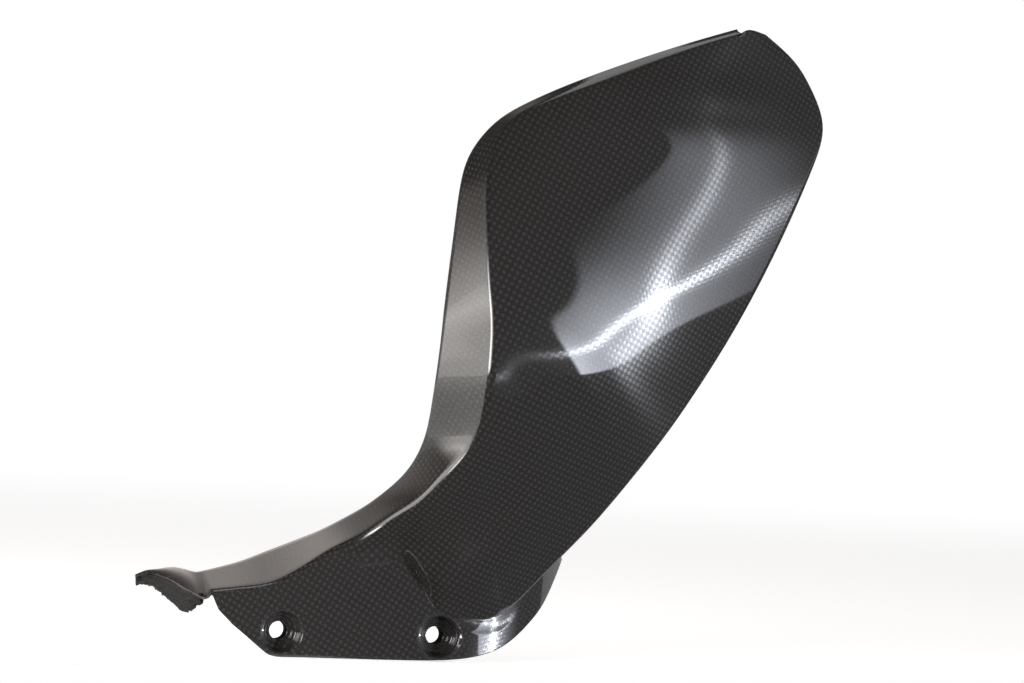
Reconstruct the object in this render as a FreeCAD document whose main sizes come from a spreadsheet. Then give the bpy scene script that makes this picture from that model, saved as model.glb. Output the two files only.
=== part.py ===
import FreeCAD, Part
import math
import os

# Rear hugger mudguard: one carbon moulding. A bolt plate faces -Y, the big sheet bulges out of it
# towards -Y and sweeps up to the tail, and a narrow wall folds back along the crease.
# Millimetres. The origin is midway between the two bolt holes, on the faces that seat on the carrier.

Vector = FreeCAD.Vector
doc = FreeCAD.newDocument("rear_hugger_mudguard")

# Driving dimensions
SIZES = [
    ("laminate", 1.4, "thickness of the laminate"),
    ("crease_radius", 4.0, "outer radius of the fold between sheet and wall"),
    ("tail_height", 312.7, "height of the tail's top corner above the bolt line"),
    ("tail_reach", 213.8, "reach of the tail's rim beyond the middle of the bolt line"),
    ("bulge_depth", 62.3, "how far the sheet stands out in front of the plate"),
    ("bolt_spacing", 81.0, "distance between the two bolt holes"),
    ("bore_width", 9.0, "diameter of each bolt bore"),
    ("dish_width", 20.5, "diameter of each dish at the plate's face"),
    ("dish_floor_width", 17.0, "diameter of each dish at its floor"),
    ("dish_depth", 6.5, "depth of each dish"),
    ("seat_width", 13.4, "diameter of the step that the bolt head sits in"),
    ("seat_step", 1.2, "depth of that step below the floor"),
    ("boss_width", 16.0, "diameter of the boss behind each dish"),
    ("boss_reach", 15.5, "from the plate's face back to the boss's end"),
    ("foot_drop", 12.3, "plate's bottom edge below the bolt line"),
    ("tongue_start", 46.0, "where the plate begins to curve back"),
    ("tongue_radius", 95.0, "radius of the plate's curve"),
    ("torn_edge_depth", 12.0, "depth of the raw end below the lip"),
]
sheet = doc.addObject("Spreadsheet::Sheet", "sizes")
for row, (name, value, note) in enumerate(SIZES, start=1):
    sheet.set("A%d" % row, name)
    sheet.set("B%d" % row, str(value))
    sheet.set("C%d" % row, note)
    sheet.setAlias("B%d" % row, name)
doc.recompute()


def size(name):
    return float(sheet.get(name))


laminate = size("laminate")

# Stations along the crease, from the lip end to the tail. Each row gives the crease, the wall's free
# edge, the sheet's rim, the sheet's crown and the depth of the soft step that runs out of the plate.
STATIONS = [
    ((-77.4, 0.0, 18.9), (-75.0, 32.0, 26.1), (-73.0, 0.7, 10.0), 0.2, 0.0),
    ((-58.0, 0.0, 21.5), (-51.9, 41.0, 31.8), (-57.0, 0.7, 8.0), 0.2, 0.0),
    ((-48.0, 0.0, 23.4), (-40.9, 45.0, 35.8), (-47.0, 0.7, 9.5), 0.2, 0.0),
    ((-38.3, 0.0, 28.1), (-30.5, 45.5, 40.1), (-37.0, 0.7, 14.0), 0.2, 0.0),
    ((-28.5, 0.0, 34.4), (-21.3, 42.5, 44.6), (-26.0, 0.7, 20.0), 0.2, 0.0),
    ((-16.3, 0.0, 42.3), (-13.1, 36.6, 49.5), (-10.0, 0.7, 28.0), 0.2, 0.0),
    ((-5.0, -4.2, 48.1), (-2.9, 28.0, 57.0), (10.0, 0.7, 35.0), -1.0, 0.5),
    ((10.8, -17.5, 62.1), (9.0, 12.0, 69.2), (27.0, 0.7, 31.0), -2.0, 1.0),
    ((18.5, -24.3, 69.2), (13.8, 0.0, 77.3), (36.0, 0.7, 16.0), -1.5, 3.0),
    ((27.4, -34.4, 81.5), (18.6, -11.9, 89.4), (51.0, 0.9, 10.0), 0.0, 4.2),
    ((37.9, -46.1, 98.3), (21.1, -20.0, 104.6), (75.0, 5.2, 12.8), 0.5, 3.8),
    ((40.6, -54.4, 115.7), (20.4, -28.0, 118.7), (94.0, -1.0, 33.8), 3.0, 2.0),
    ((39.8, -59.0, 130.0), (20.1, -32.5, 131.0), (108.7, -8.3, 52.6), 5.5, 0.7),
    ((39.0, -61.0, 144.8), (20.4, -35.0, 145.6), (122.2, -16.0, 72.1), 7.0, 0.0),
    ((37.7, -62.3, 159.1), (20.5, -36.6, 158.8), (139.3, -24.0, 98.7), 8.5, 0.0),
    ((35.2, -61.1, 178.2), (21.1, -38.0, 177.4), (157.3, -30.2, 129.3), 9.6, 0.0),
    ((33.7, -57.7, 202.3), (22.6, -38.8, 202.9), (177.1, -35.9, 167.7), 10.5, 0.0),
    ((34.3, -50.8, 226.7), (25.5, -36.0, 226.6), (195.1, -39.0, 208.3), 12.5, 0.0),
    ((40.0, -46.4, 248.0), (33.1, -33.8, 245.8), (207.1, -40.8, 240.1), 14.2, 0.0),
    ((47.4, -46.8, 258.2), (42.4, -37.0, 257.6), (212.4, -41.1, 256.0), 14.2, 0.0),
    ((59.0, -49.1, 266.0), (56.9, -41.4, 267.8), (213.8, -41.5, 267.0), 12.0, 0.0),
    ((77.8, -52.2, 275.2), (77.5, -47.0, 278.7), (211.0, -42.4, 277.0), 8.8, 0.0),
    ((107.7, -53.8, 287.7), (107.7, -49.3, 292.2), (203.5, -44.5, 288.6), 4.2, 0.0),
    ((139.1, -53.0, 302.1), (139.2, -49.2, 304.8), (190.7, -47.0, 301.8), 1.2, 0.0),
    ((160.4, -51.2, 310.3), (160.8, -47.6, 312.7), (175.8, -49.2, 311.2), 0.3, 0.0),
]
MEASURED_REACH = 213.8
MEASURED_BULGE = 62.3
MEASURED_HEIGHT = 312.7
SHEET_SPANS = 8


def scaled(point):
    """Place of a station point, stretched with the tail's height and reach and the bulge's depth."""
    across = size("tail_reach") / MEASURED_REACH
    out = size("bulge_depth") / MEASURED_BULGE
    up = size("tail_height") / MEASURED_HEIGHT
    x, y, z = point
    return Vector(x * across, y * out if y < 0 else y, z * up)


def crown_shape(share):
    """Rise of a crowned sheet between its crease (0) and its rim (1)."""
    return 4 * share * (1 - share) * (1.15 - 0.3 * share)


def step_shape(share):
    """Dip above the soft step and swell below it, between the crease (0) and the rim (1)."""
    dip = math.exp(-((share - 0.4) / 0.16) ** 2)
    swell = math.exp(-((share - 0.72) / 0.14) ** 2)
    return 0.55 * swell - dip


def sheet_point(station, share):
    """Point on the sheet's outer face, from the crease (0) to the rim (1)."""
    crease, wall_edge, rim, crown, step = station
    start, end = scaled(crease), scaled(rim)
    out = crown * crown_shape(share) + step * step_shape(share)
    return start + (end - start) * share - Vector(0, out, 0)


def unit(vector):
    return vector * (1.0 / vector.Length)


def fold(station):
    """Tangent points, middle and centre of the rounded fold at one station."""
    crease, wall_edge, rim = scaled(station[0]), scaled(station[1]), scaled(station[2])
    to_wall = unit(wall_edge - crease)
    to_sheet = unit(sheet_point(station, 0.05) - crease)
    half_angle = to_wall.getAngle(to_sheet) / 2
    room = 0.6 * min((wall_edge - crease).Length, (rim - crease).Length)
    tangent = min(size("crease_radius") / math.tan(half_angle), room)
    radius = tangent * math.tan(half_angle)
    inward = unit(to_wall + to_sheet)
    centre = crease + inward * (radius / math.sin(half_angle))
    return crease + to_wall * tangent, centre - inward * radius, crease + to_sheet * tangent, centre


def towards(point, centre, distance):
    return point + unit(centre - point) * distance


def spline(points):
    curve = Part.BSplineCurve()
    curve.interpolate(points)
    return curve.toShape()


def arc(first, middle, last):
    return Part.Arc(first, middle, last).toShape()


def line(first, last):
    return Part.LineSegment(first, last).toShape()


def flattened(point, base, normal):
    """Nearest point to the given one on the plane through base."""
    return point - normal * (point - base).dot(normal)


def section_wire(index):
    """Closed profile of the folded laminate at one station: outer face, rim, inner face, wall edge."""
    station = STATIONS[index]
    before, after = STATIONS[max(index - 1, 0)], STATIONS[min(index + 1, len(STATIONS) - 1)]
    crease, wall_edge, rim = scaled(station[0]), scaled(station[1]), scaled(station[2])
    wall_tangent, fold_middle, sheet_tangent, centre = fold(station)
    first_share = (sheet_tangent - crease).Length / (rim - crease).Length
    outer = [sheet_tangent]
    inner = [towards(sheet_tangent, centre, laminate)]
    for k in range(1, SHEET_SPANS + 1):
        share = first_share + (1 - first_share) * k / SHEET_SPANS
        along = sheet_point(after, share) - sheet_point(before, share)
        over = sheet_point(station, share + 0.02) - sheet_point(station, share - 0.02)
        normal = unit(over.cross(along))
        if normal.y < 0:
            normal = normal * -1
        outer.append(sheet_point(station, share))
        inner.append(outer[-1] + normal * laminate)
    wall_normal = unit(centre - wall_tangent)
    inner_edge = wall_edge + wall_normal * laminate
    inner_tangent = wall_tangent + wall_normal * laminate
    inner_middle = towards(fold_middle, centre, laminate)
    if index in (0, len(STATIONS) - 1):
        flat = unit((wall_edge - crease).cross(rim - crease))
        wall_edge, wall_tangent, fold_middle, sheet_tangent, inner_edge, inner_tangent, inner_middle = [
            flattened(point, crease, flat) for point in
            (wall_edge, wall_tangent, fold_middle, sheet_tangent, inner_edge, inner_tangent, inner_middle)]
        outer = [flattened(point, crease, flat) for point in outer]
        inner = [flattened(point, crease, flat) for point in inner]
    edges = [
        line(wall_edge, wall_tangent),
        arc(wall_tangent, fold_middle, sheet_tangent),
        spline(outer),
        line(outer[-1], inner[-1]),
        spline(inner[::-1]),
        arc(inner[0], inner_middle, inner_tangent),
        line(inner_tangent, inner_edge),
        line(inner_edge, wall_edge),
    ]
    return Part.Wire(edges)


def folded_sheet():
    wires = [section_wire(index) for index in range(len(STATIONS))]
    return Part.makeLoft(wires, True, False)


def bolt_plate():
    """Flat plate with a tongue that curves back behind the sheet's free edge."""
    foot = -size("foot_drop")
    start, radius = size("tongue_start"), size("tongue_radius")
    crease = [scaled(station[0]) for station in STATIONS]
    rim = [scaled(station[2]) for station in STATIONS]
    tuck = 5.0  # the plate's top edge stays this far below the fold
    overlap = 3.0  # and runs this far up behind the sheet's rim
    turn = math.radians(52)
    far_left, far_back = -90.0, 60.0
    plan_outer_end = Vector(start + radius * math.sin(turn), radius * (1 - math.cos(turn)), 0)
    inner_radius = radius - laminate
    plan_inner_end = Vector(start + inner_radius * math.sin(turn), radius - inner_radius * math.cos(turn), 0)
    half = turn / 2
    outer_mid = Vector(start + radius * math.sin(half), radius * (1 - math.cos(half)), 0)
    inner_mid = Vector(start + inner_radius * math.sin(half), radius - inner_radius * math.cos(half), 0)
    plan = Part.Wire([
        line(Vector(far_left, 0, 0), Vector(start, 0, 0)),
        arc(Vector(start, 0, 0), outer_mid, plan_outer_end),
        line(plan_outer_end, plan_inner_end),
        arc(plan_inner_end, inner_mid, Vector(start, laminate, 0)),
        line(Vector(start, laminate, 0), Vector(far_left, laminate, 0)),
        line(Vector(far_left, laminate, 0), Vector(far_left, 0, 0)),
    ])
    band = Part.Face(plan).extrude(Vector(0, 0, 120))
    band.translate(Vector(0, 0, -40))
    top = [Vector(point.x, 0, point.z - tuck) for point in crease[1:6]]
    bend = [Vector(point.x + 0.6 * overlap, 0, point.z + overlap) for point in rim[6:11]]
    left_top = Vector(crease[0].x + 1.6, 0, crease[0].z - 4.4)
    left_low = Vector(-50.0, 0, foot + 3.2)
    corner = Vector(-45.8, 0, foot + 0.8)
    bottom_left = Vector(-40.7, 0, foot)
    bottom_right = Vector(36.5, 0, foot)
    heel = [bottom_right, Vector(63.2, 0, -9.0), Vector(75.0, 0, -5.0), Vector(86.4, 0, 1.2),
            Vector(98.7, 0, 15.0), Vector(110.7, 0, 33.0), Vector(114.2, 0, 42.0)]
    hidden = [heel[-1], Vector(111.0, 0, 46.5), Vector(103.0, 0, 41.0), Vector(88.0, 0, 27.0), bend[-1]]
    outline = [line(left_top, top[0])]
    outline += [line(a, b) for a, b in zip(top, top[1:])]
    outline += [line(top[-1], bend[0])]
    outline += [line(a, b) for a, b in zip(bend, bend[1:])]
    outline += [spline(hidden[::-1]), spline(heel[::-1]), line(bottom_right, bottom_left)]
    outline += [arc(bottom_left, corner, left_low), arc(left_low, Vector(-65.0, 0, 2.5), left_top)]
    wire = Part.Wire(Part.__sortEdges__(outline))
    slab = Part.Face(wire).extrude(Vector(0, far_back, 0))
    slab.translate(Vector(0, -5, 0))
    return band.common(slab)


# Lip left of the crease's end: near edge, far edge and depth of the raw end under the near edge
LIP = [
    ((-74.5, 3.6, 18.4), (-72.5, 33.0, 25.4), 0.8),
    ((-77.6, 1.6, 17.8), (-75.0, 34.5, 25.2), 1.2),
    ((-79.7, 3.0, 15.3), (-76.5, 37.0, 25.0), 1.4),
    ((-82.6, 7.0, 16.6), (-79.0, 39.0, 26.0), 3.5),
    ((-85.4, 11.0, 18.0), (-82.0, 40.0, 26.3), 9.0),
    ((-87.8, 14.0, 19.1), (-85.0, 41.0, 26.6), 12.0),
    ((-93.5, 23.0, 21.6), (-90.5, 41.8, 26.3), 9.8),
    ((-98.6, 33.0, 23.4), (-97.0, 42.0, 24.8), 6.0),
    ((-102.5, 38.5, 23.4), (-102.0, 43.0, 23.6), 4.6),
    ((-107.0, 41.5, 21.4), (-107.0, 43.5, 21.5), 2.2),
]


def lip():
    depth_scale = size("torn_edge_depth") / 12.0
    wires = []
    for near, far, depth in LIP:
        near_top, far_top = scaled(near), scaled(far)
        near_low = near_top - Vector(0, 0, depth * depth_scale)
        far_low = far_top - Vector(0, 0, min(depth, laminate))
        wires.append(Part.makePolygon([near_top, far_top, far_low, near_low, near_top]))
    return Part.makeLoft(wires, True, False)


def feature(name, shape):
    item = doc.addObject("Part::Feature", name)
    item.Shape = shape
    return item


sheet_shell = feature("sheet_shell", folded_sheet())
plate = feature("plate", bolt_plate())
lip_end = feature("lip_end", lip())


def turned_round(item, side, back):
    """Stands a round primitive on the bolt axis, with its foot at the depth that back gives."""
    item.Placement = FreeCAD.Placement(Vector(0, 0, 0), FreeCAD.Rotation(Vector(1, 0, 0), 90))
    item.setExpression("Placement.Base.x", "%s * sizes.bolt_spacing / 2" % side)
    item.setExpression("Placement.Base.y", back)


added, removed = [sheet_shell, plate, lip_end], []
for label, side in (("front", "-1"), ("rear", "1")):
    cup = doc.addObject("Part::Cone", label + "_cup")
    cup.setExpression("Radius1", "sizes.dish_floor_width / 2 + sizes.laminate")
    cup.setExpression("Radius2", "sizes.dish_width / 2 + sizes.laminate")
    cup.setExpression("Height", "sizes.dish_depth + sizes.laminate")
    turned_round(cup, side, "sizes.dish_depth + sizes.laminate")
    boss = doc.addObject("Part::Cylinder", label + "_boss")
    boss.setExpression("Radius", "sizes.boss_width / 2")
    boss.setExpression("Height", "sizes.boss_reach - sizes.dish_depth")
    turned_round(boss, side, "sizes.boss_reach")
    hollow = doc.addObject("Part::Cone", label + "_hollow")
    hollow.setExpression("Radius1", "sizes.dish_floor_width / 2")
    hollow.setExpression("Radius2", "sizes.dish_width / 2")
    hollow.setExpression("Height", "sizes.dish_depth")
    turned_round(hollow, side, "sizes.dish_depth")
    step = doc.addObject("Part::Cylinder", label + "_step")
    step.setExpression("Radius", "sizes.seat_width / 2")
    step.setExpression("Height", "sizes.seat_step + 1")
    turned_round(step, side, "sizes.dish_depth + sizes.seat_step")
    bore = doc.addObject("Part::Cylinder", label + "_bore")
    bore.setExpression("Radius", "sizes.bore_width / 2")
    bore.setExpression("Height", "sizes.boss_reach + 2")
    turned_round(bore, side, "sizes.boss_reach + 1")
    added += [cup, boss]
    removed += [hollow, step, bore]

body = doc.addObject("Part::MultiFuse", "body")
body.Shapes = added
cuts = doc.addObject("Part::MultiFuse", "cuts")
cuts.Shapes = removed
shell = doc.addObject("Part::Cut", "mudguard_shell")
shell.Base = body
shell.Tool = cuts
shell.Label = "mudguard_shell"
shell.setExpression("Placement.Base.y", "-sizes.boss_reach")
doc.recompute()

for item in doc.Objects:
    if "Invalid" in item.State or "Error" in item.State:
        raise RuntimeError("%s is not built" % item.Name)
if shell.Shape.isNull() or not shell.Shape.isValid():
    raise RuntimeError("mudguard_shell has no valid shape")

os.makedirs("parts", exist_ok=True)
shell.Shape.exportStep("parts/mudguard_shell.step")
print("solids", len(shell.Shape.Solids), "volume", round(shell.Shape.Volume), "faces", len(shell.Shape.Faces))
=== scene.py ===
import math

import bmesh
import bpy
import numpy as np
from mathutils import Matrix, Vector, noise


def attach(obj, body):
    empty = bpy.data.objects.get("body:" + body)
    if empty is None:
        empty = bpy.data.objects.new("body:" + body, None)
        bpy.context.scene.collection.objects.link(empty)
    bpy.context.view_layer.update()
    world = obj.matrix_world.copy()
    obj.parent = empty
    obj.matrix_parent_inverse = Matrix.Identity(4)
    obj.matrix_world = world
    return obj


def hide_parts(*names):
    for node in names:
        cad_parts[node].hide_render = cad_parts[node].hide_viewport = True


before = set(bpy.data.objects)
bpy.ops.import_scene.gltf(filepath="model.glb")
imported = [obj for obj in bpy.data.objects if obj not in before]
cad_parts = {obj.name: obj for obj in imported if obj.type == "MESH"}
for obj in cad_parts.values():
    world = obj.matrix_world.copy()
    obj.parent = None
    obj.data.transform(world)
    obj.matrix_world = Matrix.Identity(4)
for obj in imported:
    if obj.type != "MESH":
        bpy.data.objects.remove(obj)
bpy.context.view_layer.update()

# Rear hugger mudguard: one clear-coated carbon moulding. Lengths below are millimetres, with y = 0 on
# the bolt plate's outer face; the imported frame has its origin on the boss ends, 15.5 mm further back.
MM = 0.001
SEAT = 15.5
LAMINATE = 1.4
CREASE_RADIUS = 4.0
TONGUE_START, TONGUE_RADIUS = 46.0, 95.0
PLATE_LEFT_END = -77.6
BOLT_X = 40.5

# Stations along the crease, from the lip end to the tail: the crease, the wall's free edge, the
# sheet's rim, the sheet's crown and the depth of the soft step that runs out of the plate.
STATIONS = np.array([
    (-77.4, 0.0, 18.9, -75.0, 32.0, 26.1, -73.0, 0.0, 10.0, 0.0, 0.0),
    (-58.0, 0.0, 21.5, -51.9, 41.0, 31.8, -57.0, 0.0, 8.0, 0.0, 0.0),
    (-48.0, 0.0, 23.4, -40.9, 45.0, 35.8, -47.0, 0.0, 9.5, 0.0, 0.0),
    (-38.3, 0.0, 28.1, -30.5, 45.5, 40.1, -37.0, 0.0, 14.0, 0.0, 0.0),
    (-28.5, 0.0, 34.4, -21.3, 42.5, 44.6, -26.0, 0.0, 20.0, 0.0, 0.0),
    (-16.3, 0.0, 42.3, -13.1, 36.6, 49.5, -10.0, 0.0, 28.0, 0.0, 0.0),
    (-5.0, -4.2, 48.1, -2.9, 28.0, 57.0, 10.0, 0.0, 35.0, -1.0, 0.5),
    (10.8, -17.5, 62.1, 9.0, 12.0, 69.2, 27.0, 0.0, 31.0, -2.0, 1.0),
    (18.5, -24.3, 69.2, 13.8, 0.0, 77.3, 36.0, 0.0, 16.0, -1.5, 3.0),
    (27.4, -34.4, 81.5, 18.6, -11.9, 89.4, 51.0, 0.1, 10.0, 0.0, 4.2),
    (37.9, -46.1, 98.3, 21.1, -20.0, 104.6, 75.0, 4.5, 12.8, 0.5, 3.8),
    (40.6, -54.4, 115.7, 20.4, -28.0, 118.7, 94.0, -1.0, 33.8, 3.0, 2.0),
    (39.8, -59.0, 130.0, 20.1, -32.5, 131.0, 108.7, -8.3, 52.6, 5.5, 0.7),
    (39.0, -61.0, 144.8, 20.4, -35.0, 145.6, 122.2, -16.0, 72.1, 7.0, 0.0),
    (37.7, -62.3, 159.1, 20.5, -36.6, 158.8, 139.3, -24.0, 98.7, 8.5, 0.0),
    (35.2, -61.1, 178.2, 21.1, -38.0, 177.4, 157.3, -30.2, 129.3, 9.6, 0.0),
    (33.7, -57.7, 202.3, 22.6, -38.8, 202.9, 177.1, -35.9, 167.7, 10.5, 0.0),
    (34.3, -50.8, 226.7, 25.5, -36.0, 226.6, 195.1, -39.0, 208.3, 12.5, 0.0),
    (40.0, -46.4, 248.0, 33.1, -33.8, 245.8, 207.1, -40.8, 240.1, 14.2, 0.0),
    (47.4, -46.8, 258.2, 42.4, -37.0, 257.6, 212.4, -41.1, 256.0, 14.2, 0.0),
    (59.0, -49.1, 266.0, 56.9, -41.4, 267.8, 213.8, -41.5, 267.0, 12.0, 0.0),
    (77.8, -52.2, 275.2, 77.5, -47.0, 278.7, 211.0, -42.4, 277.0, 8.8, 0.0),
    (107.7, -53.8, 287.7, 107.7, -49.3, 292.2, 203.5, -44.5, 288.6, 4.2, 0.0),
    (139.1, -53.0, 302.1, 139.2, -49.2, 304.8, 190.7, -47.0, 301.8, 1.2, 0.0),
    (160.4, -51.2, 310.3, 160.8, -47.6, 312.7, 175.8, -49.2, 311.2, 0.3, 0.0),
])
CREASE, WALL_EDGE, RIM = slice(0, 3), slice(3, 6), slice(6, 9)
RIM_X, RIM_Y, RIM_Z, CROWN, STEP = 6, 7, 8, 9, 10
BEND_START, ON_PLATE = 4, 10

# The plate's columns: the bend at the top, which is the sheet's rim as far as the slit, then the
# tongue's hidden top edge, and below each the plate's free edge.
PLATE_TOP_AFTER_SLIT = [(88.0, 27.0), (103.0, 41.0), (111.0, 46.5)]
PLATE_FOOT = [(-65.3, 2.7), (-57.0, -3.6), (-50.0, -9.1), (-44.0, -12.0), (-33.0, -12.2), (-20.0, -12.2),
              (-4.0, -12.2), (12.0, -12.2), (27.0, -12.1), (47.0, -11.3), (74.5, -5.0), (92.4, 7.9),
              (105.2, 23.9), (113.4, 39.1)]

# The lip past the crease's end: near edge, far edge
LIP = np.array([
    (-77.4, 0.0, 18.9, -75.0, 32.0, 26.1),
    (-79.7, 3.0, 15.6, -77.6, 35.5, 25.2),
    (-82.6, 7.0, 16.6, -80.4, 38.4, 25.6),
    (-85.4, 11.0, 18.0, -83.2, 40.0, 26.2),
    (-87.8, 14.0, 19.1, -86.0, 40.8, 26.6),
    (-91.1, 20.0, 20.9, -89.6, 41.4, 26.6),
    (-94.8, 27.0, 22.6, -93.2, 41.8, 26.0),
    (-98.6, 33.0, 23.4, -97.7, 42.0, 24.6),
    (-102.0, 38.0, 23.2, -101.8, 42.2, 23.2),
    (-106.6, 41.0, 20.8, -106.6, 42.8, 20.7),
])

# The torn end under it: its upper edge, just under the lip's near edge, and its lower edge
TORN = np.array([
    (-81.0, 5.0, 15.0, -81.4, 5.8, 13.8),
    (-82.6, 7.2, 15.4, -83.2, 8.4, 11.6),
    (-84.6, 10.2, 16.6, -85.2, 11.4, 8.6),
    (-86.6, 12.8, 17.4, -87.0, 14.0, 6.9),
    (-89.0, 16.6, 18.8, -89.6, 18.0, 8.7),
    (-92.0, 22.2, 20.4, -92.4, 23.2, 11.2),
    (-95.6, 28.6, 21.9, -95.8, 29.0, 14.6),
    (-99.4, 34.4, 22.4, -99.2, 34.0, 17.4),
    (-103.0, 38.8, 21.6, -102.9, 39.4, 18.6),
    (-106.0, 40.9, 20.0, -105.9, 41.3, 18.8),
])
NEAR, FAR = slice(0, 3), slice(3, 6)
TORN_THICKNESS = 2.4

# How far the hollow bend is rounded, how far the lip's middle rises, and the arch of the sheet's end:
# its height and how far back it reaches
BEND_REACH = 7.0
LIP_RISE = 1.4
TAIL_ARCH, TAIL_ARCH_REACH = 1.9, 14.0

# Section of a dish from the plate's face to the back of the bore: radius, depth
DISH = [(10.9, 0.0), (10.8, 0.02), (10.7, 0.07), (10.58, 0.18), (10.4, 0.4), (10.22, 0.7), (10.1, 1.1),
        (9.95, 1.8), (9.65, 3.0), (9.25, 4.6), (9.0, 5.6), (8.75, 6.1), (8.35, 6.4), (7.8, 6.5), (7.1, 6.5),
        (6.85, 6.54), (6.72, 6.68), (6.7, 6.9), (6.7, 7.5), (6.62, 7.65), (6.4, 7.7), (4.9, 7.7),
        (4.62, 7.76), (4.5, 7.95), (4.5, 11.5), (4.5, 15.4)]
DISH_RADIUS = DISH[0][0]

# Around a dish: the gap that is cleared outside its rim, how deep the bore's cut wall starts and how
# far from the bolt axis it lies, and the reach in which the plate's cloth is measured
DISH_GAP = 0.2
BORE_START, BORE_REACH = 7.9, 4.7
CLOTH_ROUND_DISH = 24.0

# Section of a boss: radius, depth behind the plate's face
BOSS = [(5.2, 8.6), (8.0, 8.6), (8.0, 15.5), (5.2, 15.5)]

# The cloth: the place where its warp is measured, the warp's angle there and on the plate, how near
# the plate's face it counts as flat, and how many of its tows lie in a millimetre (each is 2 mm wide)
CLOTH_SEED = (100.0, -45.0, 170.0)
WARP_ANGLE, PLATE_WARP_ANGLE = 22.0, 16.0
FLAT_WITHIN = 0.3
TOWS_PER_MM = (0.5, 0.5, 1.0)

# How finely the surfaces are divided, over how many rows the lip takes its own shape, how often the
# bend is smoothed and, in metres, how near corners are before they are joined
WALL_SPANS, FOLD_SPANS, SHEET_SPANS = 10, 8, 78
FOLD_END = WALL_SPANS + FOLD_SPANS
PLATE_COLUMNS, BEYOND_COLUMNS, TONGUE_COLUMNS = 101, 139, 24
PLATE_SPANS = 26
LIP_ROWS, LIP_RISE_ROWS, LIP_BLEND_ROWS = 60, 20, 14
TORN_ROWS, TORN_SPANS = 90, 26
BEND_PASSES = 40
SPIN_STEPS = 72
WELD = 2e-6

# The table, in metres: its level, its near edge under the part, its far edge, how far it reaches to
# both sides, how much further it comes forward at the left, and how much it glows to the eye
FLOOR_LEVEL = -0.0127
TABLE_EDGE, TABLE_BACK, TABLE_REACH, TABLE_LEFT_FRONT = -0.0165, 8.0, 6.0, 1.8
PAPER_GLOW = 0.72

# The camera: lens in millimetres, place and turn
LENS, SENSOR = 101.25, 36.0
CAMERA_PLACE = (-395.94, -1375.56, 137.12)
CAMERA_TURN = Matrix(((0.94523668, -0.06321595, -0.3202052),
                      (-0.32010357, 0.01200388, -0.9473065),
                      (0.06372858, 0.99792768, -0.00888914)))


def linear(hex_colour):
    """Linear colour from an sRGB hex value."""
    channels = [int(hex_colour[k:k + 2], 16) / 255 for k in (1, 3, 5)]
    return [c / 12.92 if c <= 0.04045 else ((c + 0.055) / 1.055) ** 2.4 for c in channels] + [1.0]


def add_node(tree, kind, inputs=(), **settings):
    """Adds a node with its settings; inputs are (socket, value or output socket)."""
    node = tree.nodes.new(kind)
    for name, value in settings.items():
        setattr(node, name, value)
    for socket, value in inputs:
        if isinstance(value, bpy.types.NodeSocket):
            tree.links.new(value, node.inputs[socket])
        else:
            node.inputs[socket].default_value = value
    return node


def worked_out(tree, operation, *values):
    """Result of one sum in a node tree."""
    return add_node(tree, "ShaderNodeMath", enumerate(values), operation=operation).outputs[0]


def ranged(tree, value, start, end, low=0.0, high=1.0, smooth=False):
    """A value that goes from low at start to high at end, and stays there past both."""
    return add_node(tree, "ShaderNodeMapRange", [
        ("Value", value), ("From Min", start), ("From Max", end), ("To Min", low), ("To Max", high)],
        interpolation_type="SMOOTHSTEP" if smooth else "LINEAR").outputs[0]


def run_lengths(points):
    """Length along a row of points, from the first to each."""
    return np.concatenate([[0.0], np.cumsum(np.linalg.norm(np.diff(points, axis=0), axis=1))])


def carried(knots, rows, places):
    """Rows of numbers carried smoothly from station to station, as a natural spline."""
    gaps = np.diff(knots)
    count = len(knots)
    system = np.eye(count)
    bends = np.zeros_like(rows)
    for k in range(1, count - 1):
        system[k, k - 1:k + 2] = gaps[k - 1], 2 * (gaps[k - 1] + gaps[k]), gaps[k]
        bends[k] = 6 * ((rows[k + 1] - rows[k]) / gaps[k] - (rows[k] - rows[k - 1]) / gaps[k - 1])
    bends = np.linalg.solve(system, bends)
    k = np.clip(np.searchsorted(knots, places) - 1, 0, count - 2)
    gap = gaps[k][:, None]
    before = (places - knots[k])[:, None]
    after = gap - before
    return ((bends[k] * after ** 3 + bends[k + 1] * before ** 3) / (6 * gap)
            + (rows[k] / gap - bends[k] * gap / 6) * after
            + (rows[k + 1] / gap - bends[k + 1] * gap / 6) * before)


KNOTS = run_lengths(STATIONS[:, CREASE])


def band_depth(x):
    """How far back the plate's outer face lies: flat, then curving away along the tongue."""
    past = np.clip(x - TONGUE_START, 0, TONGUE_RADIUS)
    return TONGUE_RADIUS - np.sqrt(TONGUE_RADIUS ** 2 - past ** 2)


def crown_shape(share):
    """The sheet's crown, from 0 at the crease to 0 at the rim, a little fuller towards the crease."""
    return 4 * share * (1 - share) * (1.15 - 0.3 * share)


def step_shape(share):
    """The soft step across the sheet: a hollow with a lower swelling beside it."""
    return 0.55 * np.exp(-((share - 0.72) / 0.14) ** 2) - np.exp(-((share - 0.4) / 0.16) ** 2)


def unit(rows):
    """Rows scaled to length one."""
    return rows / np.linalg.norm(rows, axis=-1, keepdims=True)


def sheet_rows(rows, share):
    """Points on the sheet's outer face at a share of the way from crease to rim."""
    crease, rim = rows[:, CREASE], rows[:, RIM]
    share = np.broadcast_to(share, len(rows))
    out = rows[:, CROWN] * crown_shape(share) + rows[:, STEP] * step_shape(share)
    points = crease + (rim - crease) * share[:, None]
    points[:, 1] -= out
    return points


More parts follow.
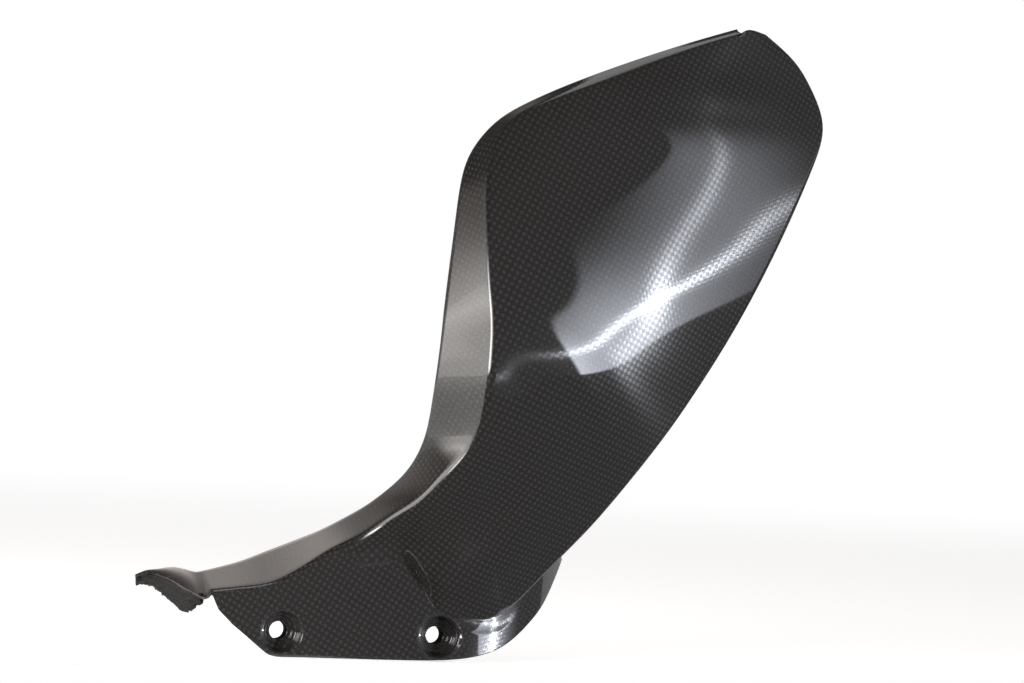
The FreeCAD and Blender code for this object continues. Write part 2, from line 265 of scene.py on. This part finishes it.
def folded_sheet_points(places):
    """Outer face of wall, fold and sheet: one row of points for each place along the crease."""
    rows = carried(KNOTS, STATIONS, places)
    on_plate = places <= KNOTS[ON_PLATE] + 1e-6
    rows[on_plate, RIM_Y] = band_depth(rows[on_plate, RIM_X])
    crease, wall_edge, rim = rows[:, CREASE], rows[:, WALL_EDGE], rows[:, RIM]
    to_wall = unit(wall_edge - crease)
    to_sheet = unit(sheet_rows(rows, 0.04) - crease)
    half_angle = np.arccos(np.clip((to_wall * to_sheet).sum(1), -1, 1)) / 2
    wall_width, sheet_width = [np.linalg.norm(edge - crease, axis=1) for edge in (wall_edge, rim)]
    # The fold takes up at most 0.6 of the narrower side
    room = 0.6 * np.minimum(wall_width, sheet_width)
    tangent = np.minimum(CREASE_RADIUS / np.tan(half_angle), room)[:, None]
    radius = tangent * np.tan(half_angle)[:, None]
    inward = unit(to_wall + to_sheet)
    centre = crease + inward * (radius / np.sin(half_angle)[:, None])
    wall_tangent, sheet_tangent = crease + to_wall * tangent, crease + to_sheet * tangent
    out = [wall_edge + (wall_tangent - wall_edge) * k / WALL_SPANS for k in range(WALL_SPANS)]
    start, end = wall_tangent - centre, sheet_tangent - centre
    turn = np.arccos(np.clip((unit(start) * unit(end)).sum(1), -1, 1))[:, None]
    for k in range(FOLD_SPANS):
        part = k / FOLD_SPANS
        out.append(centre + (start * np.sin((1 - part) * turn) + end * np.sin(part * turn)) / np.sin(turn))
    out.append(sheet_tangent)
    first = tangent[:, 0] / sheet_width
    for k in range(1, SHEET_SPANS + 1):
        out.append(sheet_rows(rows, first + (1 - first) * k / SHEET_SPANS))
    return np.stack(out, axis=1), rows


def round_tail(sheet):
    """Arches the sheet's end upwards, so that the tail's upper corner is round."""
    share = np.linspace(0, 1, SHEET_SPANS + 1)
    left = np.linalg.norm(sheet[:, FOLD_END] - sheet[-1, FOLD_END], axis=1)
    arch = TAIL_ARCH * np.clip(1 - left / TAIL_ARCH_REACH, 0, 1)[:, None] ** 2
    sheet[:, FOLD_END:, 2] += arch * np.sin(math.pi * share ** 0.55)


def to_frame(point):
    """A point in this script's millimetres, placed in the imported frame."""
    return Vector((point[0] * MM, (point[1] - SEAT) * MM, point[2] * MM))


def grid_piece(bm, points):
    """Adds a grid whose corners are moved to the given rows of points."""
    columns, across = points.shape[:2]
    made = bmesh.ops.create_grid(bm, x_segments=columns - 1, y_segments=across - 1, size=1.0)["verts"]
    for corner in made:
        i = round((corner.co.x + 1) / 2 * (columns - 1))
        j = round((corner.co.y + 1) / 2 * (across - 1))
        corner.co = to_frame(points[i, j])
    return made


def plate_points(rows):
    """The plate and tongue, from the bend or hidden top edge down to the free edge."""
    tongue_top = np.vstack([STATIONS[ON_PLATE, [RIM_X, RIM_Z]], PLATE_TOP_AFTER_SLIT])
    end = KNOTS[ON_PLATE]
    tongue_knots = end + run_lengths(tongue_top)
    tongue_places = np.linspace(end, tongue_knots[-1], TONGUE_COLUMNS)[1:]
    top = np.vstack([rows[:, [RIM_X, RIM_Z]], carried(tongue_knots, tongue_top, tongue_places)])
    foot_places = np.concatenate([np.linspace(0, end, PLATE_COLUMNS), tongue_places])
    foot_knots = np.concatenate([KNOTS[:ON_PLATE + 1], tongue_knots[1:]])
    foot = carried(foot_knots, np.array(PLATE_FOOT), foot_places)
    plate = np.zeros((len(top), PLATE_SPANS + 1, 3))
    for j in range(PLATE_SPANS + 1):
        flat = top + (foot - top) * j / PLATE_SPANS
        plate[:, j] = np.stack([flat[:, 0], band_depth(flat[:, 0]), flat[:, 1]], axis=1)
    return plate


def lip_points(wall_end):
    """The lip past the crease: it carries the wall on, through a shallow valley, to a point."""
    last = WALL_SPANS + FOLD_SPANS // 2
    first = wall_end[:last + 1]
    lengths = run_lengths(first)
    share = (1 - lengths / lengths[-1])[:, None]
    knots = run_lengths(LIP[:, NEAR])
    rows = carried(knots, LIP, np.linspace(0, knots[-1], LIP_ROWS))
    missed = first - (LIP[0, NEAR] + (LIP[0, FAR] - LIP[0, NEAR]) * share)
    points = np.zeros((len(rows), last + 1, 3))
    for k, row in enumerate(rows):
        straight = row[NEAR] + (row[FAR] - row[NEAR]) * share
        straight[:, 2] += LIP_RISE * np.sin(np.pi * share[:, 0]) * min(k / LIP_RISE_ROWS, 1)
        points[k] = straight + missed * max(0.0, 1 - k / LIP_BLEND_ROWS) ** 2
    return points


def shell_skin():
    """The moulding's outer face: wall, fold, sheet, bend, plate and tongue in one skin."""
    end = KNOTS[ON_PLATE]
    on_plate = np.linspace(0, end, PLATE_COLUMNS)
    beyond = np.linspace(end, KNOTS[-1], BEYOND_COLUMNS)[1:]
    sheet, rows = folded_sheet_points(np.concatenate([on_plate, beyond]))
    round_tail(sheet)
    bm = bmesh.new()
    grid_piece(bm, sheet)
    grid_piece(bm, plate_points(rows[:PLATE_COLUMNS]))
    grid_piece(bm, lip_points(sheet[0]))
    bmesh.ops.remove_doubles(bm, verts=bm.verts, dist=WELD)
    mark_flat_cloth(bm)
    return bm


def mark_flat_cloth(bm):
    """Marks the plate's faces, where the cloth lies flat, and parts them by a seam from the rest."""
    flat_cloth = bm.faces.layers.int.new("flat_cloth")
    for face in bm.faces:
        away = [abs(c.co.y / MM + SEAT - float(band_depth(c.co.x / MM))) for c in face.verts]
        left_end = min(c.co.x for c in face.verts)
        face[flat_cloth] = max(away) < FLAT_WITHIN and left_end > PLATE_LEFT_END * MM
    for edge in bm.edges:
        edge.seam = len({face[flat_cloth] for face in edge.link_faces}) == 2


def soften_bend(bm):
    """Rounds the hollow bend where the sheet runs into the plate, moving points front to back only."""
    places = np.linspace(KNOTS[BEND_START], KNOTS[ON_PLATE], 200)
    bend = carried(KNOTS, STATIONS, places)[:, [RIM_X, RIM_Z]] * MM
    near = []
    for corner in bm.verts:
        away = np.hypot(bend[:, 0] - corner.co.x, bend[:, 1] - corner.co.z)
        if away.min() < BEND_REACH * MM and not corner.is_boundary:
            near.append(corner)
    for _ in range(BEND_PASSES):
        bmesh.ops.smooth_vert(bm, verts=near, factor=0.5, use_axis_x=False, use_axis_y=True,
                              use_axis_z=False)


def face_outwards(bm):
    """Turns every face to the same side, and that side to the front."""
    bmesh.ops.recalc_face_normals(bm, faces=bm.faces)
    if sum(face.normal.y * face.calc_area() for face in bm.faces) > 0:
        bmesh.ops.reverse_faces(bm, faces=bm.faces)


def new_object(name, bm):
    """A smooth object in the scene, made from the bmesh, which is freed."""
    for face in bm.faces:
        face.smooth = True
    mesh = bpy.data.meshes.new(name)
    bm.to_mesh(mesh)
    bm.free()
    piece = bpy.data.objects.new(name, mesh)
    bpy.context.scene.collection.objects.link(piece)
    return piece


def unroll(piece):
    """Unwraps the piece's skin, cut at its seams."""
    bpy.ops.object.select_all(action="DESELECT")
    bpy.context.view_layer.objects.active = piece
    piece.select_set(True)
    bpy.ops.object.mode_set(mode="EDIT")
    bpy.ops.mesh.select_all(action="SELECT")
    bpy.ops.uv.unwrap(method="CONFORMAL", margin=0.0)
    bpy.ops.object.mode_set(mode="OBJECT")
    piece.select_set(False)


def cloth_scale(faces, cloth):
    """What the unwrapped faces have to be scaled by to have their real area, in millimetres."""
    solid_area = sum(face.calc_area() for face in faces) / MM ** 2
    flat_area = 0.0
    for face in faces:
        corners = [loop[cloth].uv for loop in face.loops]
        flat_area += abs(sum(a.cross(b) for a, b in zip(corners, corners[1:] + corners[:1]))) / 2
    return math.sqrt(solid_area / flat_area)


def cloth_fit(laid, length):
    """The linear map from x and z, in the given length, to the cloth, fitted to corners laid on it."""
    solid = np.array([[corner.co.x / length, corner.co.z / length, 1] for corner in laid])
    flat = np.array([list(uv) for uv in laid.values()])
    return np.linalg.lstsq(solid, flat, rcond=None)[0]


def along_band(x):
    """Length of the plate's outer face from the middle to x, round the tongue's curve."""
    if x < TONGUE_START:
        return x
    return TONGUE_START + TONGUE_RADIUS * math.asin((x - TONGUE_START) / TONGUE_RADIUS)


def lay_cloth(piece, seed):
    """Unrolls the skin as one cloth, in millimetres, turned so that the warp runs as it does at the seed."""
    unroll(piece)
    bm = bmesh.new()
    bm.from_mesh(piece.data)
    cloth = bm.loops.layers.uv.verify()
    flat_cloth = bm.faces.layers.int["flat_cloth"]
    stretch = cloth_scale([face for face in bm.faces if not face[flat_cloth]], cloth)
    place = to_frame(seed)
    bm.faces.ensure_lookup_table()
    nearest = min(bm.faces, key=lambda face: (face.calc_center_median() - place).length)
    around = {loop.vert: loop[cloth].uv * stretch for corner in nearest.verts for loop in corner.link_loops}
    fit = cloth_fit(around, MM)
    mirrored = np.linalg.det(fit[:2]) < 0
    level = math.atan2(fit[0, 1] * (-1 if mirrored else 1), fit[0, 0])
    turn = Matrix.Rotation(-level - math.radians(WARP_ANGLE), 2)
    turn_on_plate = Matrix.Rotation(-math.radians(PLATE_WARP_ANGLE), 2)
    for face in bm.faces:
        for loop in face.loops:
            if face[flat_cloth]:
                corner = loop.vert.co
                loop[cloth].uv = turn_on_plate @ Vector((along_band(corner.x / MM), corner.z / MM))
                continue
            uv = loop[cloth].uv * stretch
            if mirrored:
                uv.y = -uv.y
            loop[cloth].uv = turn @ uv
    return bm


def spin_section(bm, middle, section, closed=False):
    """Turns a section, given as radius and depth, once round the bolt axis."""
    corners = []
    for radius, depth in section:
        corners.append(bm.verts.new((middle.x + radius * MM, middle.y + depth * MM, middle.z)))
    following = corners[1:] + corners[:1] if closed else corners[1:]
    edges = [bm.edges.new(pair) for pair in zip(corners, following)]
    bmesh.ops.spin(bm, geom=corners + edges, cent=middle, axis=(0, 1, 0), angle=2 * math.pi,
                   steps=SPIN_STEPS, use_merge=True, use_duplicate=False)


def dish(bm, side):
    """One dished bolt hole, spun about the bolt axis and joined to the plate."""
    middle = to_frame((side * BOLT_X, 0.0, 0.0))
    cloth = bm.loops.layers.uv.verify()
    cleared, near = [], {}
    for face in bm.faces:
        if (face.calc_center_median() - middle).length < CLOTH_ROUND_DISH * MM:
            nearest = min((corner.co - middle).length for corner in face.verts)
            if nearest < (DISH_RADIUS + DISH_GAP) * MM:
                cleared.append(face)
            for loop in face.loops:
                near[loop.vert] = loop[cloth].uv.copy()
    fit = cloth_fit(near, 1.0)
    touched = list(dict.fromkeys(edge for face in cleared for edge in face.edges))
    outline, inner_edges = [], []
    for edge in touched:
        kept = edge.is_boundary or any(face not in cleared for face in edge.link_faces)
        (outline if kept else inner_edges).append(edge)
    bmesh.ops.delete(bm, geom=cleared, context="FACES_ONLY")
    bmesh.ops.delete(bm, geom=inner_edges, context="EDGES")
    old = set(bm.faces)
    spin_section(bm, middle, DISH)
    rim = [edge for edge in bm.edges if edge.is_boundary and edge not in outline
           and max(abs((end.co - middle).length - DISH_RADIUS * MM) for end in edge.verts) < 0.01 * MM]
    bmesh.ops.triangle_fill(bm, edges=outline + rim, use_beauty=True, normal=(0, -1, 0))
    for face in bm.faces:
        if face not in old:
            for loop in face.loops:
                loop[cloth].uv = np.array([loop.vert.co.x, loop.vert.co.z, 1]) @ fit


def shell():
    """The whole moulding as one skin, with its cloth laid, its dishes in place and its bores dark."""
    bm = shell_skin()
    soften_bend(bm)
    face_outwards(bm)
    piece = new_object("carbon_shell", bm)
    bm = lay_cloth(piece, CLOTH_SEED)
    for side in (-1, 1):
        dish(bm, side)
    face_outwards(bm)
    for face in bm.faces:
        face.smooth = True
        place = face.calc_center_median() / MM
        from_bolt = math.hypot(abs(place.x) - BOLT_X, place.z)
        if place.y + SEAT > BORE_START and from_bolt < BORE_REACH:
            face.material_index = 2
    bm.to_mesh(piece.data)
    bm.free()
    return piece


def torn_end():
    """The raw end under the lip, where the laminate was torn off: thick, ragged and dark."""
    knots = run_lengths(TORN[:, NEAR])
    rows = carried(knots, TORN, np.linspace(0, knots[-1], TORN_ROWS))
    points = np.zeros((len(rows), TORN_SPANS + 1, 3))
    # The core bows backwards, most of all just under the lip, and is ragged all over
    for j in range(TORN_SPANS + 1):
        share = j / TORN_SPANS
        points[:, j] = rows[:, NEAR] + (rows[:, FAR] - rows[:, NEAR]) * share
        points[:, j, 1] += 0.9 * math.sin(math.pi * share) + 0.8 * np.exp(-((share - 0.2) / 0.09) ** 2)
    bm = bmesh.new()
    for corner in grid_piece(bm, points):
        place = corner.co / MM
        rough = noise.noise(Vector((place.x * 0.9, place.y * 0.9, place.z * 1.7)))
        fine = noise.noise(Vector((place.x * 3.1, place.y * 3.1, place.z * 4.0 + 7)))
        corner.co.y += (0.55 * rough + 0.3 * fine) * MM
        if corner.is_boundary:
            corner.co.z += 0.35 * fine * MM
    face_outwards(bm)
    piece = new_object("torn_end", bm)
    thicken(piece, TORN_THICKNESS)
    return piece


def bosses():
    """The two round bosses behind the dishes, which seat on the carrier."""
    bm = bmesh.new()
    for side in (-1, 1):
        spin_section(bm, to_frame((side * BOLT_X, 0.0, 0.0)), BOSS, closed=True)
    bmesh.ops.recalc_face_normals(bm, faces=bm.faces)
    piece = new_object("bosses", bm)
    round_rims(piece, 0.4, 40)
    return piece


def new_material(name):
    """A material with an empty node tree."""
    material = bpy.data.materials.new(name)
    material.use_nodes = True
    material.node_tree.nodes.clear()
    return material


def tows(tree):
    """Place on the cloth, counted in tows."""
    uv = add_node(tree, "ShaderNodeUVMap")
    return add_node(tree, "ShaderNodeVectorMath", [(0, uv.outputs["UV"]), (1, TOWS_PER_MM)],
                    operation="MULTIPLY").outputs[0]


def clear_coated_carbon():
    """Plain-weave carbon under a polished clear coat: dark tows that catch light in turn, deep gloss."""
    material = new_material("clear_coated_plain_weave_carbon")
    tree = material.node_tree
    tow = tows(tree)
    checker = add_node(tree, "ShaderNodeTexChecker", [
        ("Vector", tow), ("Scale", 1.0), ("Color1", (0, 0, 0, 1)), ("Color2", (1, 1, 1, 1))])
    over = checker.outputs["Fac"]
    parts = add_node(tree, "ShaderNodeSeparateXYZ", [(0, tow)])
    humps = []
    for axis in (0, 1):
        wave = worked_out(tree, "MULTIPLY", parts.outputs[axis], math.pi)
        humps.append(worked_out(tree, "ABSOLUTE", worked_out(tree, "SINE", wave)))
    hump = worked_out(tree, "MULTIPLY", *humps)
    # The weave is real; the lighter crowns of one tow family in the base colour are a painted sheen, standing
    # in for the tows catching light
    colour = add_node(tree, "ShaderNodeMix", [
        ("Factor", worked_out(tree, "MULTIPLY", over, hump)), ("A", linear("#232221")),
        ("B", linear("#373534"))], data_type="RGBA")
    bump = add_node(tree, "ShaderNodeBump", [("Strength", 0.5), ("Distance", 0.00001), ("Height", hump)])
    tangent = add_node(tree, "ShaderNodeTangent", direction_type="UV_MAP")
    warp, weft = [add_node(tree, "ShaderNodeBsdfPrincipled", [
        ("Base Color", colour.outputs[2]), ("Roughness", 0.18), ("IOR", 1.5), ("Anisotropic", 1.0),
        ("Anisotropic Rotation", turned), ("Tangent", tangent.outputs[0]), ("Normal", bump.outputs[0]),
        ("Specular IOR Level", 0.1), ("Coat Weight", 1.0), ("Coat Roughness", 0.02), ("Coat IOR", 1.5)])
        for turned in (0.0, 0.25)]
    share = ranged(tree, over, 0.0, 1.0, 0.32, 0.68)
    surface = add_node(tree, "ShaderNodeMixShader", [
        (0, share), (1, warp.outputs[0]), (2, weft.outputs[0])])
    add_node(tree, "ShaderNodeOutputMaterial", [(0, surface.outputs[0])])
    return material


def bare_laminate():
    """The moulding's inner side, straight off the bag: satin resin over the same cloth."""
    material = new_material("satin_inner_laminate")
    tree = material.node_tree
    checker = add_node(tree, "ShaderNodeTexChecker", [
        ("Vector", tows(tree)), ("Scale", 1.0), ("Color1", linear("#1d1c1c")), ("Color2", linear("#2a2928"))])
    bump = add_node(tree, "ShaderNodeBump", [
        ("Strength", 0.5), ("Distance", 0.0002), ("Height", checker.outputs["Fac"])])
    surface = add_node(tree, "ShaderNodeBsdfPrincipled", [
        ("Base Color", checker.outputs["Color"]), ("Roughness", 0.55), ("IOR", 1.5),
        ("Normal", bump.outputs[0])])
    add_node(tree, "ShaderNodeOutputMaterial", [(0, surface.outputs[0])])
    return material


def bored_laminate():
    """The bores' cut walls: matt, near black, with no gloss even seen edge on."""
    material = new_material("bored_carbon_laminate")
    tree = material.node_tree
    surface = add_node(tree, "ShaderNodeBsdfPrincipled", [
        ("Base Color", linear("#0c0b0b")), ("Roughness", 0.95), ("Specular IOR Level", 0.05)])
    add_node(tree, "ShaderNodeOutputMaterial", [(0, surface.outputs[0])])
    return material


def torn_fibre():
    """Torn carbon laminate: dull, near black, with paler broken fibres lying along the tear."""
    material = new_material("torn_carbon_laminate")
    tree = material.node_tree
    place = add_node(tree, "ShaderNodeTexCoord")
    laid = add_node(tree, "ShaderNodeMapping", [
        ("Vector", place.outputs["Object"]), ("Rotation", (0.0, 0.35, 0.9)),
        ("Scale", (260.0, 1400.0, 1700.0))])
    strands = add_node(tree, "ShaderNodeTexNoise", [
        ("Vector", laid.outputs[0]), ("Scale", 1.0), ("Detail", 4.0)])
    colour = add_node(tree, "ShaderNodeMix", [
        ("Factor", ranged(tree, strands.outputs["Fac"], 0.56, 0.78)), ("A", linear("#0d0c0b")),
        ("B", linear("#3b3733"))], data_type="RGBA")
    bump = add_node(tree, "ShaderNodeBump", [
        ("Strength", 1.0), ("Distance", 0.0009), ("Height", strands.outputs["Fac"])])
    surface = add_node(tree, "ShaderNodeBsdfPrincipled", [
        ("Base Color", colour.outputs[2]), ("Roughness", 0.38), ("IOR", 1.5), ("Specular IOR Level", 0.3),
        ("Normal", bump.outputs[0])])
    add_node(tree, "ShaderNodeOutputMaterial", [(0, surface.outputs[0])])
    return material


def thicken(piece, thickness):
    """Gives a skin its thickness, behind its outer face."""
    thick = piece.modifiers.new("laminate", "SOLIDIFY")
    thick.thickness = thickness * MM
    thick.offset = -1
    thick.use_even_offset = False
    return thick


def round_rims(piece, width, angle):
    """Rounds every edge that is sharper than the angle."""
    rounded = piece.modifiers.new("rims", "BEVEL")
    rounded.width = width * MM
    rounded.segments = 2
    rounded.limit_method = "ANGLE"
    rounded.angle_limit = math.radians(angle)


def fitted(piece, *materials):
    """Gives a piece its materials and says what it belongs to."""
    for material in materials:
        piece.data.materials.append(material)
    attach(piece, "root")
    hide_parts("mudguard_shell")


def laminated(piece):
    """Gives the shell's skin its laminate, with an inner side of its own and slightly rounded rims."""
    thick = thicken(piece, LAMINATE)
    thick.use_quality_normals = True
    thick.material_offset = 1
    round_rims(piece, 0.35, 62)
    return piece


def studio():
    """A pale backdrop behind the part; the room in front of it stays dark."""
    world = bpy.data.worlds.new("studio")
    bpy.context.scene.world = world
    world.use_nodes = True
    tree = world.node_tree
    tree.nodes.clear()
    path = add_node(tree, "ShaderNodeLightPath")
    place = add_node(tree, "ShaderNodeTexCoord")
    axes = add_node(tree, "ShaderNodeSeparateXYZ", [(0, place.outputs["Generated"])])
    backdrop = ranged(tree, axes.outputs["Y"], 0.5, 1.0, 0.13, 0.9, smooth=True)
    right = ranged(tree, axes.outputs["X"], -0.45, 0.0, 0.25, 1.0)
    low = ranged(tree, axes.outputs["Z"], 0.0, 0.45, 1.0, 0.0)
    side = ranged(tree, axes.outputs["Y"], 0.0, 0.7)
    behind = worked_out(tree, "MULTIPLY", backdrop, right)
    sweep = worked_out(tree, "MULTIPLY", low, side)
    bright = worked_out(tree, "MAXIMUM", behind, sweep)
    room = add_node(tree, "ShaderNodeBackground", [("Color", linear("#fff6f0")), ("Strength", bright)])
    white = add_node(tree, "ShaderNodeBackground", [("Color", linear("#ffffff")), ("Strength", 1.0)])
    mix = add_node(tree, "ShaderNodeMixShader", [
        (0, path.outputs["Is Camera Ray"]), (1, room.outputs[0]), (2, white.outputs[0])])
    add_node(tree, "ShaderNodeOutputWorld", [(0, mix.outputs[0])])


def white_paper():
    """White paper: bright to the eye and in the gloss above it, and pure white far behind the part."""
    material = new_material("white_paper")
    tree = material.node_tree
    path = add_node(tree, "ShaderNodeLightPath")
    seen = worked_out(tree, "MAXIMUM", path.outputs["Is Camera Ray"], path.outputs["Is Glossy Ray"])
    seen = worked_out(tree, "MAXIMUM", seen, path.outputs["Is Transmission Ray"])
    strength = worked_out(tree, "MULTIPLY", seen, PAPER_GLOW)
    paper = add_node(tree, "ShaderNodeBsdfDiffuse", [("Color", linear("#f4f4f4"))])
    glow = add_node(tree, "ShaderNodeEmission", [("Color", linear("#ffffff")), ("Strength", strength)])
    near = add_node(tree, "ShaderNodeAddShader", [(0, paper.outputs[0]), (1, glow.outputs[0])])
    white = add_node(tree, "ShaderNodeEmission", [("Color", linear("#ffffff")), ("Strength", seen)])
    place = add_node(tree, "ShaderNodeTexCoord")
    axes = add_node(tree, "ShaderNodeSeparateXYZ", [(0, place.outputs["Object"])])
    far = ranged(tree, axes.outputs["Y"], 0.5, 2.0, smooth=True)
    surface = add_node(tree, "ShaderNodeMixShader", [(0, far), (1, near.outputs[0]), (2, white.outputs[0])])
    add_node(tree, "ShaderNodeOutputMaterial", [(0, surface.outputs[0])])
    return material


def paper_table():
    """The white paper under and behind the part."""
    bm = bmesh.new()
    bmesh.ops.create_grid(bm, x_segments=2, y_segments=1, size=1.0)
    for corner in bm.verts:
        corner.co.x *= TABLE_REACH
        near_edge = TABLE_EDGE if corner.co.x > -1 else TABLE_EDGE - TABLE_LEFT_FRONT
        corner.co.y = TABLE_BACK if corner.co.y > 0 else near_edge
        corner.co.z = FLOOR_LEVEL
    floor = new_object("paper_table", bm)
    floor.data.materials.append(white_paper())


def soft_light(tree, soft, fall):
    """A lamp's own light: it fades at each side and falls off towards its darker ends."""
    place_on = add_node(tree, "ShaderNodeNewGeometry")
    axes = add_node(tree, "ShaderNodeSeparateXYZ", [(0, place_on.outputs["Parametric"])])
    level = 1.0
    for axis, end, inside in (("X", 0.0, soft[0]), ("X", 1.0, 1.0 - soft[1]),
                              ("Y", 0.0, soft[2]), ("Y", 1.0, 1.0 - soft[3])):
        fade = ranged(tree, axes.outputs[axis], end, inside, smooth=True)
        level = worked_out(tree, "MULTIPLY", level, fade)
    for axis, start, end, lowest, bend in fall:
        ramp = ranged(tree, axes.outputs[axis], start, end, 1.0, lowest)
        level = worked_out(tree, "MULTIPLY", level, worked_out(tree, "POWER", ramp, bend))
    light = add_node(tree, "ShaderNodeEmission", [("Strength", level)])
    add_node(tree, "ShaderNodeOutputLight", [(0, light.outputs[0])])


def lamp(name, place, target, up, size, power, colour="#ffffff", soft=None, fall=()):
    """A rectangular studio lamp facing its target. Soft is the share that fades at its low and high X
    and its low and high Y; each fall is an axis, where it starts and ends, its lowest level and its bend."""
    data = bpy.data.lights.new(name, "AREA")
    data.shape = "RECTANGLE"
    data.size, data.size_y = size
    data.energy = power
    data.color = linear(colour)[:3]
    if soft:
        data.use_nodes = True
        data.node_tree.nodes.clear()
        soft_light(data.node_tree, soft, fall)
    item = bpy.data.objects.new(name, data)
    bpy.context.scene.collection.objects.link(item)
    back = (Vector(place) - Vector(target)).normalized()
    across = Vector(up).cross(back).normalized()
    turn = Matrix((across, back.cross(across), back)).transposed()
    item.matrix_world = Matrix.Translation(place) @ turn.to_4x4()
    item.visible_camera = False


def lamps():
    """The softbox whose mirror image lies on the sheet, with its tube, and the paler lamps at the left."""
    on_sheet, on_wall = (0.1, -0.055, 0.1), (0.03, -0.05, 0.16)
    level, even = (0, 0, 1), (0.3, 0.3, 0.3, 0.3)
    tube = Vector((1.107, -0.943, -0.133))
    box_up, box_across = Vector((-0.249, -0.500, 0.829)), Vector((-0.626, -0.571, -0.532))
    box_middle = tube + box_up * 0.39 - box_across * 0.1175
    lamp("right_softbox", box_middle, on_sheet, box_up, (0.765, 1.4), 50.0, "#eef3ff",
         soft=(0.05, 0.12, 0.02, 0.06), fall=(("Y", 0.22, 1.0, 0.0, 3.0), ("X", 0.0, 1.0, 0.0, 2.0)))
    lamp("softbox_tube", tube, on_sheet, box_up, (0.04, 0.04), 21.0, "#f2f6ff")
    lamp("left_softbox", (-0.47, -0.23, 0.185), on_wall, level, (0.8, 0.44), 7.0, "#fffaf6",
         soft=(0.15, 0.25, 0.04, 0.1), fall=(("Y", 0.36, 1.0, 0.2, 3.5), ("Y", 0.34, 0.2, 0.57, 1.0)))
    lamp("front_left_strip", (-0.45, -0.3, 0.13), on_wall, level, (0.24, 0.34), 5.0,
         soft=(0.3, 0.3, 0.15, 0.5))
    lamp("left_wall_panel", (-1.3, -0.1, 0.5), (0.0, -0.055, 0.16), level, (1.0, 1.0), 3.0, "#fff6ee",
         soft=even)
    lamp("top_panel", (0.1, -0.05, 1.3), (0.1, -0.06, 0.25), (0, 1, 0), (1.0, 0.7), 4.5, soft=even)


def camera():
    """The camera, where the photograph's was."""
    data = bpy.data.cameras.new("camera")
    data.lens = LENS
    data.sensor_width = SENSOR
    data.clip_end = 20.0
    item = bpy.data.objects.new("camera", data)
    bpy.context.scene.collection.objects.link(item)
    item.matrix_world = Matrix.Translation(to_frame(CAMERA_PLACE)) @ CAMERA_TURN.to_4x4()
    bpy.context.scene.camera = item


gloss = clear_coated_carbon()
inner = bare_laminate()
fitted(laminated(shell()), gloss, inner, bored_laminate())
fitted(torn_end(), torn_fibre())
fitted(bosses(), inner)
studio()
paper_table()
camera()
lamps()
bpy.context.scene.view_settings.view_transform = "Standard"
